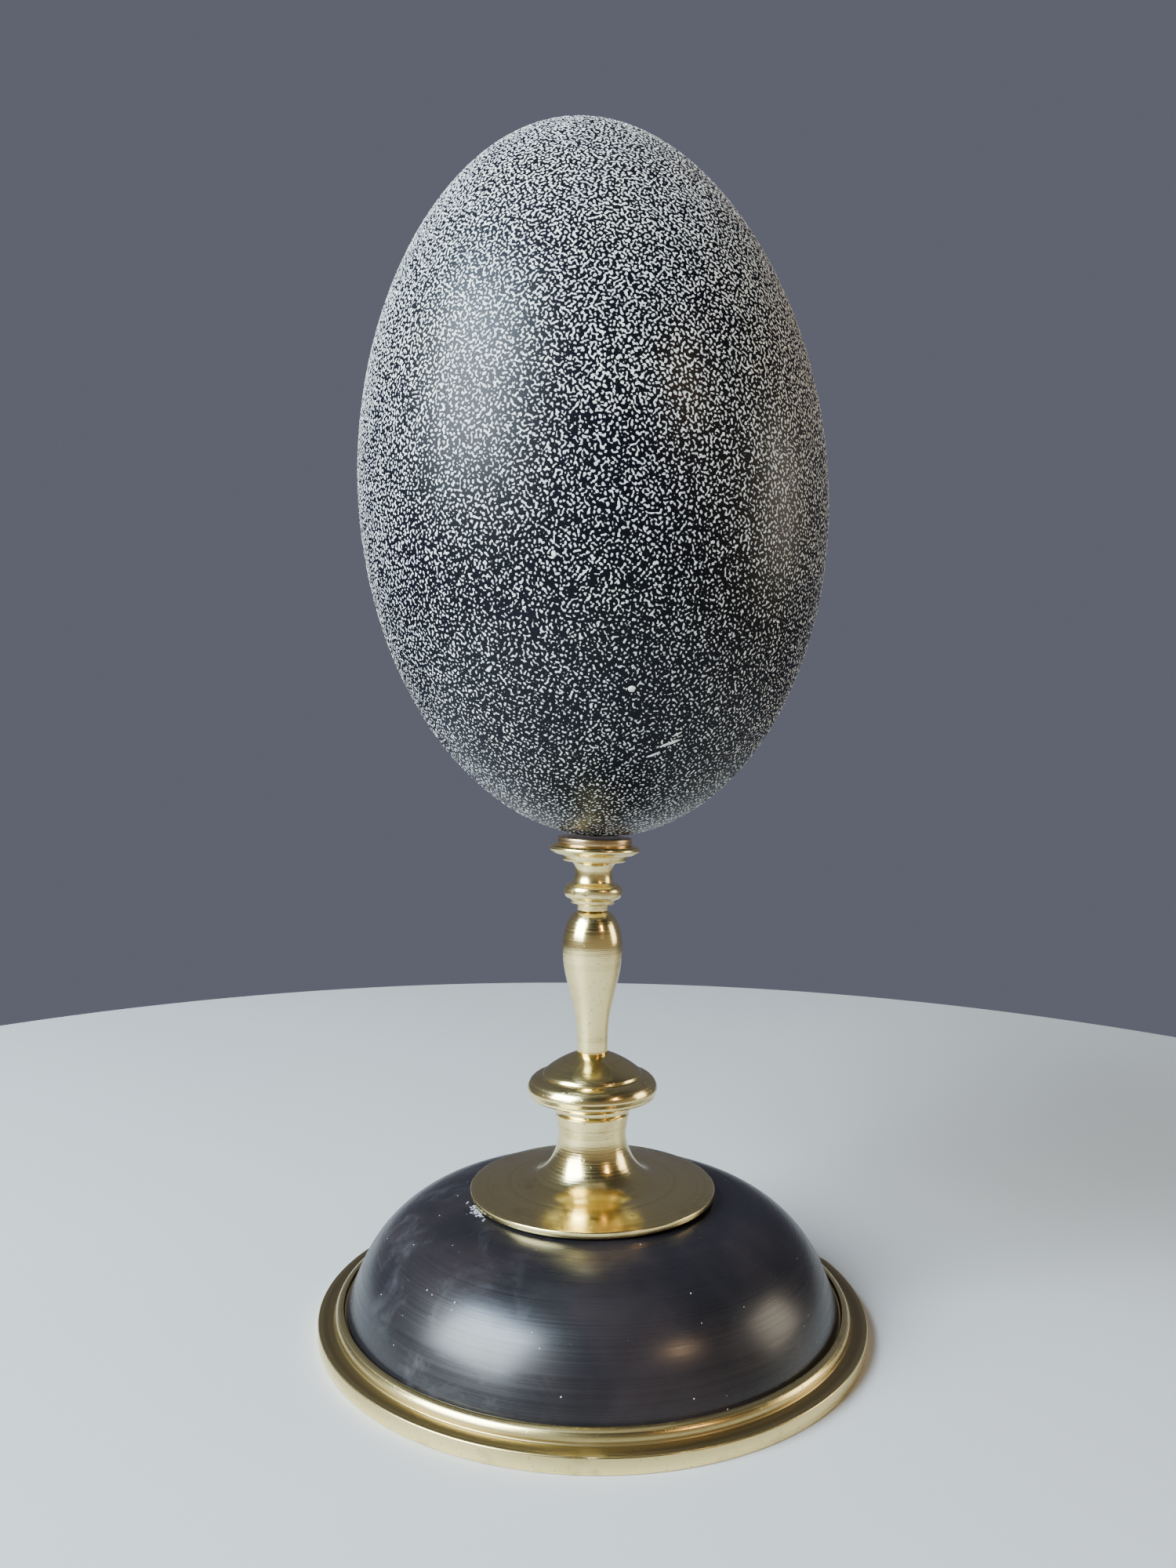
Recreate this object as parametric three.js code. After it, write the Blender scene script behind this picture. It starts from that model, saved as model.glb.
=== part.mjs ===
// Emu egg on a turned brass stand. Millimetres, +Z up, origin on the ground under the stand's axis.
import * as THREE from 'three';

// Overall stack: the height of each seam between two pieces of the stand
const DOME_SEAT_Z = 4.0;
const DOME_TOP_Z = 23.6;
const FOOT_SEAT_Z = 23.95;
const KNOP_SEAT_Z = 39.3;
const STEM_SEAT_Z = 50.6;
const COLLAR_SEAT_Z = 78.25;

// Everything above the dome leans a little to the left, so the foot stands just clear of the dome
const STAND_LEAN = 0.6;

// Base plate: upright side, flat step and quarter-round bead
const BASE_RADIUS = 52.0;
const BASE_STEP_Z = 2.84;
const BASE_EDGE_ROUND = 0.3;
const BEAD_FOOT_RADIUS = 49.0;
const BEAD_INNER_RADIUS = 47.25;
const BEAD_TOP_Z = 4.9;

// Dome: steep side, round shoulder and a shallow cone up to the foot flange
const DOME_FOOT_RADIUS = 46.9;
const DOME_SIDE_SLOPE = 67;
const DOME_SHOULDER_ROUND = 22;
const DOME_TOP_SLOPE = 11;
const DOME_TOP_RADIUS = 22.6;

// Foot: thin disc with a flared neck
const FOOT_RADIUS = 23.5;
const FOOT_RIM_HEIGHT = 1.15;
const FOOT_DISC_RISE = 1.0;
const FOOT_FLARE_RADIUS = 14.6;
const FOOT_NECK_RADIUS = 6.5;
const FOOT_NECK_Z = 35.6;
const FOOT_LIP_RADIUS = 7.15;

// Knop: stepped underside, thin lip, rolled body, fillet and domed cap
const KNOP_STEP_RADIUS = 7.45;
const KNOP_STEP_Z = 40.6;
const KNOP_LIP_RADIUS = 12.2;
const KNOP_LIP_Z = 42.5;
const KNOP_RADIUS = 12.55;
const KNOP_BODY_TOP_RADIUS = 10.1;
const KNOP_BODY_TOP_Z = 46.5;
const KNOP_BODY_FULLNESS = 0.9;
const KNOP_CAP_RADIUS = 9.45;
const KNOP_CAP_Z = 47.0;
const KNOP_CAP_FULLNESS = 0.6;

// Stem: slim shaft that swells into a pear shape below the collar
const SHAFT_RADIUS = 2.98;
const SHAFT_TOP_Z = 53.5;
const PEAR_RADIUS = 5.83;
const PEAR_Z = 71.6;
const PEAR_TOP_RADIUS = 3.05;

// Collar: pin neck, bead, waist, disc and flange, leaning a little to the right
const COLLAR_LEAN = 2.0;
const COLLAR_NECK_RADIUS = 2.95;
const COLLAR_STEP_RADIUS = 4.25;
const COLLAR_BEAD_RADIUS = 5.6;
const COLLAR_WAIST_RADIUS = 3.6;
const COLLAR_DISC_RADIUS = 6.2;
const COLLAR_FLANGE_RADIUS = 8.7;
const COLLAR_HEIGHT = 12.5;

// Seat ring: short drum whose dished top carries the egg
const RING_RADIUS = 7.15;
const RING_HEIGHT = 1.5;
const RING_DISH_DEPTH = 0.25;
const RING_EDGE = 0.5;

// Egg: length, half width, blunter lower end, and its lean to the left
const EGG_LENGTH = 132.9;
const EGG_HALF_WIDTH = 43.39;
const EGG_TAPER = 0.0362;
const EGG_FULLNESS = -0.0130;
const EGG_LEAN = 3.5;
const EGG_CENTRE_Z = 158.7;

// Hidden fixings: a spigot under each turned piece stands in a socket of the piece below
const SPIGOT_RADIUS = 1.8;
const SPIGOT_LENGTH = 3.0;
const CLEARANCE = 0.3;
const LOOSE_CLEARANCE = 0.7;

// How finely each piece is turned
const BASE_SIDES = 60;
const FOOT_SIDES = 40;
const KNOP_SIDES = 32;
const STEM_SIDES = 24;
const EGG_SIDES = 44;
const EGG_RINGS = 22;

const degrees = THREE.MathUtils.degToRad;

const brass = (colour, roughness) => new THREE.MeshStandardMaterial({ color: colour, roughness, metalness: 1 });
const polishedBrass = brass(0xcfae62, 0.25);
const satinBrass = brass(0xc2a765, 0.38);
const tarnishedBrass = brass(0xa5803f, 0.35);
const ebonisedWood = new THREE.MeshStandardMaterial({ color: 0x17161a, roughness: 0.35, metalness: 0 });
const emuShell = new THREE.MeshStandardMaterial({ color: 0x5b5f5f, roughness: 0.5, metalness: 0 });

// Points of a quarter ellipse from one corner of its box to the other; bulge 1 is round, above 1 fuller
function quarter(fromRadius, fromZ, toRadius, toZ, { steps = 6, uprightFirst = true, bulge = 1 } = {}) {
  const points = [];
  for (let i = 0; i <= steps; i += 1) {
    const turn = (i / steps) * (Math.PI / 2);
    const early = Math.pow(Math.sin(turn), 1 / bulge);
    const late = 1 - Math.pow(Math.cos(turn), 1 / bulge);
    const radius = fromRadius + (toRadius - fromRadius) * (uprightFirst ? late : early);
    const z = fromZ + (toZ - fromZ) * (uprightFirst ? early : late);
    points.push([radius, z]);
  }
  return points;
}

// Points of a smooth swell between two heights, level at both ends
function swell(fromRadius, fromZ, toRadius, toZ, steps = 6) {
  const points = [];
  for (let i = 0; i <= steps; i += 1) {
    const share = i / steps;
    const ease = (1 - Math.cos(Math.PI * share)) / 2;
    points.push([fromRadius + (toRadius - fromRadius) * ease, fromZ + (toZ - fromZ) * share]);
  }
  return points;
}

// Start of an outline on the axis: a flat seat, with a spigot below it
function seatWithSpigot(seatZ) {
  const tip = seatZ - SPIGOT_LENGTH;
  return [[0, tip], [SPIGOT_RADIUS, tip], [SPIGOT_RADIUS, seatZ]];
}

// End of an outline on the axis: a socket for the spigot of the piece above
function socketUnder(seatZ, clearance = CLEARANCE) {
  const radius = SPIGOT_RADIUS + clearance;
  const floor = seatZ - SPIGOT_LENGTH - CLEARANCE;
  return [[radius, seatZ], [radius, floor], [0, floor]];
}

// Solid turned about Z from an outline of [radius, z] points, from the axis below to the axis above
function turned(outline, sides) {
  const distinct = outline.filter((point, i) => {
    const before = outline[i - 1];
    return i === 0 || Math.hypot(point[0] - before[0], point[1] - before[1]) > 1e-3;
  });
  const geometry = new THREE.LatheGeometry(distinct.map(([radius, z]) => new THREE.Vector2(radius, z)), sides);
  geometry.rotateX(Math.PI / 2);
  return geometry;
}

function piece(name, geometry, material) {
  const mesh = new THREE.Mesh(geometry, material);
  mesh.name = name;
  return mesh;
}

function basePlate() {
  const edge = BASE_EDGE_ROUND;
  return turned([
    [0, 0],
    [BASE_RADIUS - edge, 0],
    [BASE_RADIUS, edge],
    [BASE_RADIUS, BASE_STEP_Z - edge],
    [BASE_RADIUS - edge, BASE_STEP_Z],
    ...quarter(BEAD_FOOT_RADIUS, BASE_STEP_Z, BEAD_INNER_RADIUS, BEAD_TOP_Z, { steps: 4, bulge: 1.15 }),
    [BEAD_INNER_RADIUS, DOME_SEAT_Z],
    [0, DOME_SEAT_Z],
  ], BASE_SIDES);
}

// Points of the arc that rounds the corner between the dome's side and its top cone
function domeShoulder(steps = 8) {
  const side = degrees(DOME_SIDE_SLOPE);
  const top = degrees(DOME_TOP_SLOPE);
  const run = DOME_FOOT_RADIUS - DOME_TOP_RADIUS;
  const rise = DOME_TOP_Z - DOME_SEAT_Z;
  const sideLength = (run * Math.sin(top) - rise * Math.cos(top)) / Math.sin(top - side);
  const tangent = DOME_SHOULDER_ROUND * Math.tan((side - top) / 2);
  const startRadius = DOME_FOOT_RADIUS - (sideLength - tangent) * Math.cos(side);
  const startZ = DOME_SEAT_Z + (sideLength - tangent) * Math.sin(side);
  const centreRadius = startRadius - DOME_SHOULDER_ROUND * Math.sin(side);
  const centreZ = startZ - DOME_SHOULDER_ROUND * Math.cos(side);
  const points = [];
  for (let i = 0; i <= steps; i += 1) {
    const slope = side + (top - side) * (i / steps);
    const radius = centreRadius + DOME_SHOULDER_ROUND * Math.sin(slope);
    points.push([radius, centreZ + DOME_SHOULDER_ROUND * Math.cos(slope)]);
  }
  return points;
}

function dome() {
  return turned([
    [0, DOME_SEAT_Z],
    [DOME_FOOT_RADIUS, DOME_SEAT_Z],
    ...domeShoulder(),
    [DOME_TOP_RADIUS, DOME_TOP_Z],
    ...socketUnder(DOME_TOP_Z, LOOSE_CLEARANCE),
  ], BASE_SIDES);
}

function foot() {
  const discZ = FOOT_SEAT_Z + FOOT_RIM_HEIGHT;
  const flareZ = discZ + FOOT_DISC_RISE;
  const flare = { steps: 7, uprightFirst: false };
  return turned([
    ...seatWithSpigot(FOOT_SEAT_Z),
    [FOOT_RADIUS - 0.2, FOOT_SEAT_Z],
    [FOOT_RADIUS, FOOT_SEAT_Z + 0.2],
    [FOOT_RADIUS, discZ - 0.25],
    [FOOT_RADIUS - 0.25, discZ],
    ...quarter(FOOT_FLARE_RADIUS, flareZ, FOOT_NECK_RADIUS, FOOT_NECK_Z, flare),
    [FOOT_LIP_RADIUS, KNOP_SEAT_Z],
    ...socketUnder(KNOP_SEAT_Z),
  ], FOOT_SIDES);
}

function knop() {
  const waistZ = KNOP_LIP_Z + 1.5;
  const body = { steps: 5, bulge: KNOP_BODY_FULLNESS };
  const cap = { steps: 5, bulge: KNOP_CAP_FULLNESS };
  return turned([
    ...seatWithSpigot(KNOP_SEAT_Z),
    [KNOP_STEP_RADIUS - 0.3, KNOP_SEAT_Z],
    [KNOP_STEP_RADIUS, KNOP_SEAT_Z + 0.8],
    ...quarter(KNOP_STEP_RADIUS, KNOP_STEP_Z, KNOP_LIP_RADIUS - 0.3, KNOP_LIP_Z, { steps: 3 }),
    [KNOP_LIP_RADIUS, KNOP_LIP_Z + 0.25],
    [KNOP_LIP_RADIUS - 0.05, KNOP_LIP_Z + 0.6],
    ...quarter(KNOP_RADIUS, waistZ, KNOP_BODY_TOP_RADIUS, KNOP_BODY_TOP_Z, body),
    [KNOP_CAP_RADIUS + 0.1, KNOP_BODY_TOP_Z],
    ...quarter(KNOP_CAP_RADIUS, KNOP_CAP_Z, SHAFT_RADIUS + 0.3, STEM_SEAT_Z, cap),
    ...socketUnder(STEM_SEAT_Z),
  ], KNOP_SIDES);
}

function stem() {
  return turned([
    ...seatWithSpigot(STEM_SEAT_Z),
    [SHAFT_RADIUS, STEM_SEAT_Z],
    ...swell(SHAFT_RADIUS, SHAFT_TOP_Z, PEAR_RADIUS, PEAR_Z, 7),
    ...quarter(PEAR_RADIUS, PEAR_Z, PEAR_TOP_RADIUS, COLLAR_SEAT_Z - CLEARANCE, { steps: 5, bulge: 0.85 }),
    ...socketUnder(COLLAR_SEAT_Z - CLEARANCE),
  ], STEM_SIDES);
}

// The collar's heights start at its own seat, so that the whole piece can lean about it
function collar() {
  return turned([
    ...seatWithSpigot(0),
    [COLLAR_NECK_RADIUS, 0],
    [COLLAR_NECK_RADIUS, 1.1],
    [COLLAR_STEP_RADIUS, 1.4],
    [COLLAR_STEP_RADIUS, 2.05],
    [COLLAR_STEP_RADIUS + 0.55, 2.35],
    ...quarter(COLLAR_STEP_RADIUS + 0.55, 2.35, COLLAR_BEAD_RADIUS, 3.55, { steps: 3, uprightFirst: false }),
    ...quarter(COLLAR_BEAD_RADIUS, 3.9, COLLAR_WAIST_RADIUS + 0.9, 5.05, { steps: 3, bulge: 0.9 }),
    ...quarter(COLLAR_WAIST_RADIUS + 0.8, 5.1, COLLAR_WAIST_RADIUS, 7.2, { steps: 3, uprightFirst: false }),
    ...quarter(COLLAR_WAIST_RADIUS, 7.2, COLLAR_WAIST_RADIUS + 0.95, 9.3, { steps: 3 }),
    [COLLAR_DISC_RADIUS - 0.25, 9.5],
    [COLLAR_DISC_RADIUS, 9.75],
    [COLLAR_DISC_RADIUS, 10.6],
    [COLLAR_FLANGE_RADIUS - 1.1, 10.85],
    ...quarter(COLLAR_FLANGE_RADIUS - 0.5, 11.3, COLLAR_FLANGE_RADIUS, 11.9, { steps: 2, uprightFirst: false }),
    [COLLAR_FLANGE_RADIUS - 0.15, 12.2],
    [COLLAR_FLANGE_RADIUS - 0.75, COLLAR_HEIGHT],
    [0, COLLAR_HEIGHT],
  ], STEM_SIDES);
}

function seatRing() {
  const rim = RING_RADIUS - RING_EDGE;
  const dish = [];
  for (let i = 0; i <= 3; i += 1) {
    const share = 1 - i / 3;
    dish.push([rim * share, RING_HEIGHT - RING_DISH_DEPTH * (1 - share * share)]);
  }
  return turned([
    [0, 0],
    [RING_RADIUS - 0.1, 0],
    [RING_RADIUS, 0.1],
    [RING_RADIUS, RING_HEIGHT - 0.15],
    [RING_RADIUS - 0.15, RING_HEIGHT],
    ...dish,
  ], STEM_SIDES);
}

// Egg outline from its lower tip to its upper tip, centred on the origin
function egg() {
  const outline = [];
  for (let i = 0; i <= EGG_RINGS; i += 1) {
    const t = (i / EGG_RINGS) * Math.PI;
    const shape = 1 + EGG_TAPER * Math.cos(t) + EGG_FULLNESS * Math.cos(2 * t);
    outline.push([EGG_HALF_WIDTH * Math.sin(t) * shape, (-EGG_LENGTH / 2) * Math.cos(t)]);
  }
  outline[0][0] = 0;
  outline[EGG_RINGS][0] = 0;
  return turned(outline, EGG_SIDES);
}

// Collar and seat ring lean together about the collar's seat
function collarGroup() {
  const top = new THREE.Group();
  const ring = piece('seat_ring', seatRing(), tarnishedBrass);
  ring.position.z = COLLAR_HEIGHT;
  top.add(piece('collar', collar(), satinBrass), ring);
  top.position.z = COLLAR_SEAT_Z;
  top.rotation.y = degrees(COLLAR_LEAN);
  return top;
}

function eggMesh() {
  const mesh = piece('emu_egg', egg(), emuShell);
  mesh.position.z = EGG_CENTRE_Z;
  mesh.rotation.y = -degrees(EGG_LEAN);
  return mesh;
}

// Foot, knop, stem, collar and egg: all that leans with the stand's upright
function uprightGroup() {
  const upright = new THREE.Group();
  upright.add(
    piece('foot', foot(), polishedBrass),
    piece('knop', knop(), polishedBrass),
    piece('stem', stem(), polishedBrass),
    collarGroup(),
    eggMesh(),
  );
  upright.rotation.y = -degrees(STAND_LEAN);
  return upright;
}

const group = new THREE.Group();
group.add(
  piece('base_plate', basePlate(), satinBrass),
  piece('dome', dome(), ebonisedWood),
  uprightGroup(),
);

export default group;
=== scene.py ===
"""Emu egg on a turned brass stand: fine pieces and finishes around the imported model. Metres, +Z up."""
import logging
import math
import random
from dataclasses import dataclass, field
from enum import Enum

import bmesh
import bpy
from mathutils import Matrix, Vector, noise

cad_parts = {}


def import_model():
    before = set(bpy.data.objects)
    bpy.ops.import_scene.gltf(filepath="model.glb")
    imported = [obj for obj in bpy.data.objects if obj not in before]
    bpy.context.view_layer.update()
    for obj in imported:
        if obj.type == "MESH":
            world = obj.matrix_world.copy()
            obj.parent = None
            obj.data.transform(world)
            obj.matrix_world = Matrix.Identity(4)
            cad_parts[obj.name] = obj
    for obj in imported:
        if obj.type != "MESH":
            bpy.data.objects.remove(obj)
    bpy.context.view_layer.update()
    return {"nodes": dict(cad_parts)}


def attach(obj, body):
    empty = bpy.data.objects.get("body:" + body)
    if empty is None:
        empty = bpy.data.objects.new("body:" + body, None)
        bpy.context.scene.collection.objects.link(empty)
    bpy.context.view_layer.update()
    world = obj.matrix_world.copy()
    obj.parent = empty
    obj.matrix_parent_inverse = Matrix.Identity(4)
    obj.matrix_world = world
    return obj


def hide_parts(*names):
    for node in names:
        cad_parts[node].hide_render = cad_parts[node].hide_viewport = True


MM = 0.001
LOG = logging.getLogger("emu_egg_stand")

Colour = tuple[float, float, float]
Specks = tuple[float, float, float]
Socket = bpy.types.NodeSocket


@dataclass(frozen=True)
class Stack:
    """Where each piece of the stand sits and how far it leans."""

    dome_seat: float = 4.0 * MM
    dome_top: float = 23.6 * MM
    foot_seat: float = 23.95 * MM
    knop_seat: float = 39.3 * MM
    stem_seat: float = 50.6 * MM
    collar_seat: float = 78.25 * MM
    collar_height: float = 12.5 * MM
    egg_centre: float = 158.7 * MM
    stand_lean: float = -0.6
    collar_lean: float = 2.0
    egg_lean: float = -3.5
    spigot_radius: float = 1.8 * MM
    spigot_length: float = 3.0 * MM
    clearance: float = 0.3 * MM
    loose_clearance: float = 0.7 * MM

    def straight(self) -> Matrix:
        """Place of the pieces that stand straight on the ground."""
        return Matrix.Identity(4)

    def upright(self) -> Matrix:
        """Place of the pieces that lean with the stand's upright."""
        return Matrix.Rotation(math.radians(self.stand_lean), 4, "Y")

    def collar(self) -> Matrix:
        """Place of the collar, whose heights start at its own seat."""
        lift = Matrix.Translation((0, 0, self.collar_seat))
        return self.upright() @ lift @ Matrix.Rotation(math.radians(self.collar_lean), 4, "Y")

    def ring(self) -> Matrix:
        """Place of the seat ring, on top of the collar."""
        return self.collar() @ Matrix.Translation((0, 0, self.collar_height))

    def egg(self) -> Matrix:
        """Place of the egg, whose heights start at its middle."""
        lift = Matrix.Translation((0, 0, self.egg_centre))
        return self.upright() @ lift @ Matrix.Rotation(math.radians(self.egg_lean), 4, "Y")


STACK = Stack()


class Graph:
    """A node tree with short calls for the nodes that the finishes and the granules share."""

    def __init__(self, tree: bpy.types.NodeTree) -> None:
        """Keeps the tree that the calls add to."""
        self.tree = tree

    def node(self, kind: str, *values: object, **settings: object) -> bpy.types.Node:
        """Adds a node.

        Args:
            kind: Blender's name for the node's type.
            values: number or socket for each input, in the node's own order.
            settings: properties to set on the node.

        Returns:
            The new node.
        """
        made = self.tree.nodes.new(kind)
        for name, value in settings.items():
            setattr(made, name, value)
        for target, value in zip(made.inputs, values):
            self.feed(target, value)
        return made

    def feed(self, target: Socket, value: object) -> None:
        """Links a socket to target, or sets target's own value where value isn't a socket."""
        if isinstance(value, bpy.types.NodeSocket):
            self.tree.links.new(value, target)
        else:
            target.default_value = value

    def math(self, operation: str, *values: object, clamp: bool = False) -> Socket:
        """Result of a Math node.

        Args:
            operation: the node's operation, such as ADD.
            values: one, two or three numbers or sockets.
            clamp: whether the result is kept between 0 and 1.

        Returns:
            The node's output.
        """
        made = self.node("ShaderNodeMath", *values, operation=operation, use_clamp=clamp)
        return made.outputs[0]

    def spread(self, value: object, low: float, high: float, start: object = 0.0,
               end: object = 1.0, smooth: bool = True) -> Socket:
        """Value moved from the range low to high into start to end, and kept inside it.

        Args:
            value: number or socket to move.
            low: value that becomes start.
            high: value that becomes end.
            start: result at low.
            end: result at high.
            smooth: whether the way between is eased.

        Returns:
            The node's output.
        """
        kind = "SMOOTHSTEP" if smooth else "LINEAR"
        made = self.node("ShaderNodeMapRange", value, low, high, start, end, interpolation_type=kind)
        return made.outputs["Result"]

    def scaled(self, place: Socket, stretch: tuple[float, float, float]) -> Socket:
        """A place multiplied axis by axis."""
        return self.vector("MULTIPLY", place, stretch)

    def vector(self, operation: str, *values: object) -> Socket:
        """Result of a Vector Math node on places or directions."""
        return self.node("ShaderNodeVectorMath", *values, operation=operation).outputs[0]

    def axes(self, place: Socket) -> tuple[Socket, Socket, Socket]:
        """The x, y and z of a place."""
        made = self.node("ShaderNodeSeparateXYZ", place)
        return made.outputs[0], made.outputs[1], made.outputs[2]

    def noise(self, place: Socket, scale: float, detail: float = 2.0, roughness: float = 0.5,
              distortion: float = 0.0, output: str = "Fac") -> Socket:
        """Value or colour of a noise at a place.

        Args:
            place: coordinates of the noise.
            scale: noise cells in a metre.
            detail: octaves above the first.
            roughness: strength of each finer octave.
            distortion: how far the noise bends its own coordinates.
            output: Fac for a value, Color for three.

        Returns:
            The noise, from 0 to 1 around a half.
        """
        made = self.node("ShaderNodeTexNoise", place)
        for name, given in zip(("Scale", "Detail", "Roughness", "Distortion"),
                               (scale, detail, roughness, distortion)):
            made.inputs[name].default_value = given
        return made.outputs[output]

    def within(self, value: Socket, low: float, high: float) -> Socket:
        """1 where a value lies between two others, and 0 elsewhere."""
        above = self.math("GREATER_THAN", value, low)
        return self.math("MULTIPLY", above, self.math("LESS_THAN", value, high))

    def blend(self, share: object, first: object, second: object) -> Socket:
        """Mix of two colours.

        Args:
            share: how much of the second colour shows.
            first: colour or socket at a share of 0.
            second: colour or socket at a share of 1.

        Returns:
            The mixed colour.
        """
        made = self.node("ShaderNodeMix", share, data_type="RGBA", clamp_factor=True)
        for target, value in zip((made.inputs[6], made.inputs[7]), (first, second)):
            self.feed(target, (*value, 1.0) if isinstance(value, tuple) else value)
        return made.outputs[2]


class Finish(Graph):
    """One surface's material, around a single Principled shader."""

    def __init__(self, name: str, place: Matrix = Matrix.Identity(4)) -> None:
        """Starts an empty material with its shader.

        Args:
            name: name of the material.
            place: place of its piece; patterns are laid as they were before the piece was set there.
        """
        self.material = bpy.data.materials.new(name)
        self.material.use_nodes = True
        super().__init__(self.material.node_tree)
        self.tree.nodes.clear()
        self.shader = self.node("ShaderNodeBsdfPrincipled")
        output = self.node("ShaderNodeOutputMaterial")
        self.tree.links.new(self.shader.outputs["BSDF"], output.inputs["Surface"])
        back = place.inverted()
        own = self.node("ShaderNodeTexCoord").outputs["Object"]
        centred = self.node("ShaderNodeMapping", own, vector_type="POINT")
        centred.inputs["Location"].default_value = back.to_translation()
        centred.inputs["Rotation"].default_value = back.to_euler()
        self.place = centred.outputs[0]

    def set(self, name: str, value: object) -> None:
        """Feeds one of the shader's sockets."""
        self.feed(self.shader.inputs[name], value)

    def bump(self, height: Socket, distance: float, strength: float = 1.0,
             under: Socket | None = None) -> Socket:
        """Normal bent by a height.

        Args:
            height: height as a share of distance.
            distance: height in metres of a value of 1.
            strength: how much the normal follows it.
            under: normal that this one is laid over.

        Returns:
            The bent normal.
        """
        made = self.node("ShaderNodeBump")
        made.inputs["Distance"].default_value = distance
        made.inputs["Strength"].default_value = strength
        self.feed(made.inputs["Height"], height)
        if under is not None:
            self.feed(made.inputs["Normal"], under)
        return made.outputs["Normal"]

    def turning(self) -> Socket:
        """Coordinates in the half plane through the axis, so that a noise on them runs in rings."""
        x, y, z = self.axes(self.place)
        radius = self.math("SQRT", self.math("ADD", self.math("MULTIPLY", x, x),
                                             self.math("MULTIPLY", y, y)))
        return self.node("ShaderNodeCombineXYZ", radius, 0.0, z).outputs[0]

    def specks(self, scale: float, size: float, kept: float) -> Socket:
        """Sparse round specks.

        Args:
            scale: cells in a metre, each with at most one speck.
            size: radius of a speck as a share of its cell.
            kept: share of the cells that hold a speck.

        Returns:
            A mask that is 1 on the specks.
        """
        made = self.node("ShaderNodeTexVoronoi", self.place)
        made.inputs["Scale"].default_value = scale
        near = self.spread(made.outputs["Distance"], size * 0.7, size, 1.0, 0.0)
        chance = self.axes(made.outputs["Color"])[0]
        return self.math("MULTIPLY", near, self.math("LESS_THAN", chance, kept))


class BrassTone(Enum):
    """How bright each brass piece still is: base colour, darkest stain, which is also the colour of
    painted corner shade, and roughness.
    """

    POLISHED = ((0.94, 0.77, 0.35), (0.46, 0.32, 0.13), 0.17)
    SATIN = ((0.91, 0.74, 0.33), (0.25, 0.175, 0.075), 0.22)
    TARNISHED = ((0.66, 0.47, 0.25), (0.20, 0.12, 0.06), 0.26)


@dataclass(frozen=True)
class Brass:
    """Turned brass with lathe lines, small pits, brown tarnish, painted shade darkening a corner where
    one is given, and specks of dust.
    """

    tone: BrassTone
    line_scale: float = 3800.0
    line_depth: float = 0.024 * MM
    band_scale: float = 420.0
    pit_scale: float = 1500.0
    pit_depth: float = 0.03 * MM
    stain_scale: float = 130.0
    dust: Colour = (0.62, 0.58, 0.50)
    dust_specks: Specks = (300.0, 0.035, 0.08)
    dust_roughness: float = 0.4
    grime_and_shade_roughness: float = 0.14
    # corner that painted shade darkens the brass around, radius and height in millimetres
    corner: tuple[float, float] | None = None
    corner_reach: float = 3.2 * MM
    corner_shade: float = 0.85

    def painted_corner_shade(self, made: Finish, rings: Socket) -> Socket:
        """How far the corner at a radius and height in millimetres is darkened: painted shade, with some
        tarnish.
        """
        corner = (self.corner[0] * MM, 0.0, self.corner[1] * MM)
        away = made.node("ShaderNodeVectorMath", rings, corner, operation="DISTANCE")
        return made.spread(away.outputs["Value"], 0.0, self.corner_reach, self.corner_shade, 0.0)

    def material(self, place: Matrix) -> bpy.types.Material:
        """Material of this brass for a piece with this place."""
        clean, stain_and_shade, roughness = self.tone.value
        made = Finish(f"brass_{self.tone.name.lower()}", place)
        rings = made.turning()
        lines = made.noise(rings, self.line_scale, detail=2.0, roughness=0.6)
        bands = made.noise(rings, self.band_scale, detail=3.0, roughness=0.6)
        stain = made.noise(made.place, self.stain_scale, detail=6.0, roughness=0.65)
        pits = made.noise(made.place, self.pit_scale, detail=2.0, roughness=0.6)
        dents = made.spread(pits, 0.28, 0.35, 1.0, 0.0)
        # dark stain from noise, bands and pits; the corner's painted shade is added to it below
        grime_and_shade = made.spread(stain, 0.52, 0.74, 0.0, 0.5)
        grime_and_shade = made.math("ADD", grime_and_shade, made.spread(bands, 0.52, 0.75, 0.0, 0.35), clamp=True)
        grime_and_shade = made.math("MAXIMUM", grime_and_shade, made.math("MULTIPLY", dents, 0.6))
        # painted shade with some tarnish: the brass darkens towards the corner
        if self.corner:
            grime_and_shade = made.math("MAXIMUM", grime_and_shade, self.painted_corner_shade(made, rings))
        dust = made.specks(*self.dust_specks)
        made.set("Base Color", made.blend(dust, made.blend(grime_and_shade, clean, stain_and_shade), self.dust))
        made.set("Metallic", made.math("SUBTRACT", 1.0, dust))
        worn = made.spread(lines, 0.3, 0.7, roughness - 0.05, roughness + 0.06)
        worn = made.math("ADD", worn, made.math("MULTIPLY", grime_and_shade, self.grime_and_shade_roughness))
        dusty = made.math("MULTIPLY", dust, self.dust_roughness)
        made.set("Roughness", made.math("ADD", worn, dusty, clamp=True))
        fine = made.bump(lines, self.line_depth, 1.0)
        made.set("Normal", made.bump(dents, -self.pit_depth, 0.35, under=fine))
        return made.material


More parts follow.
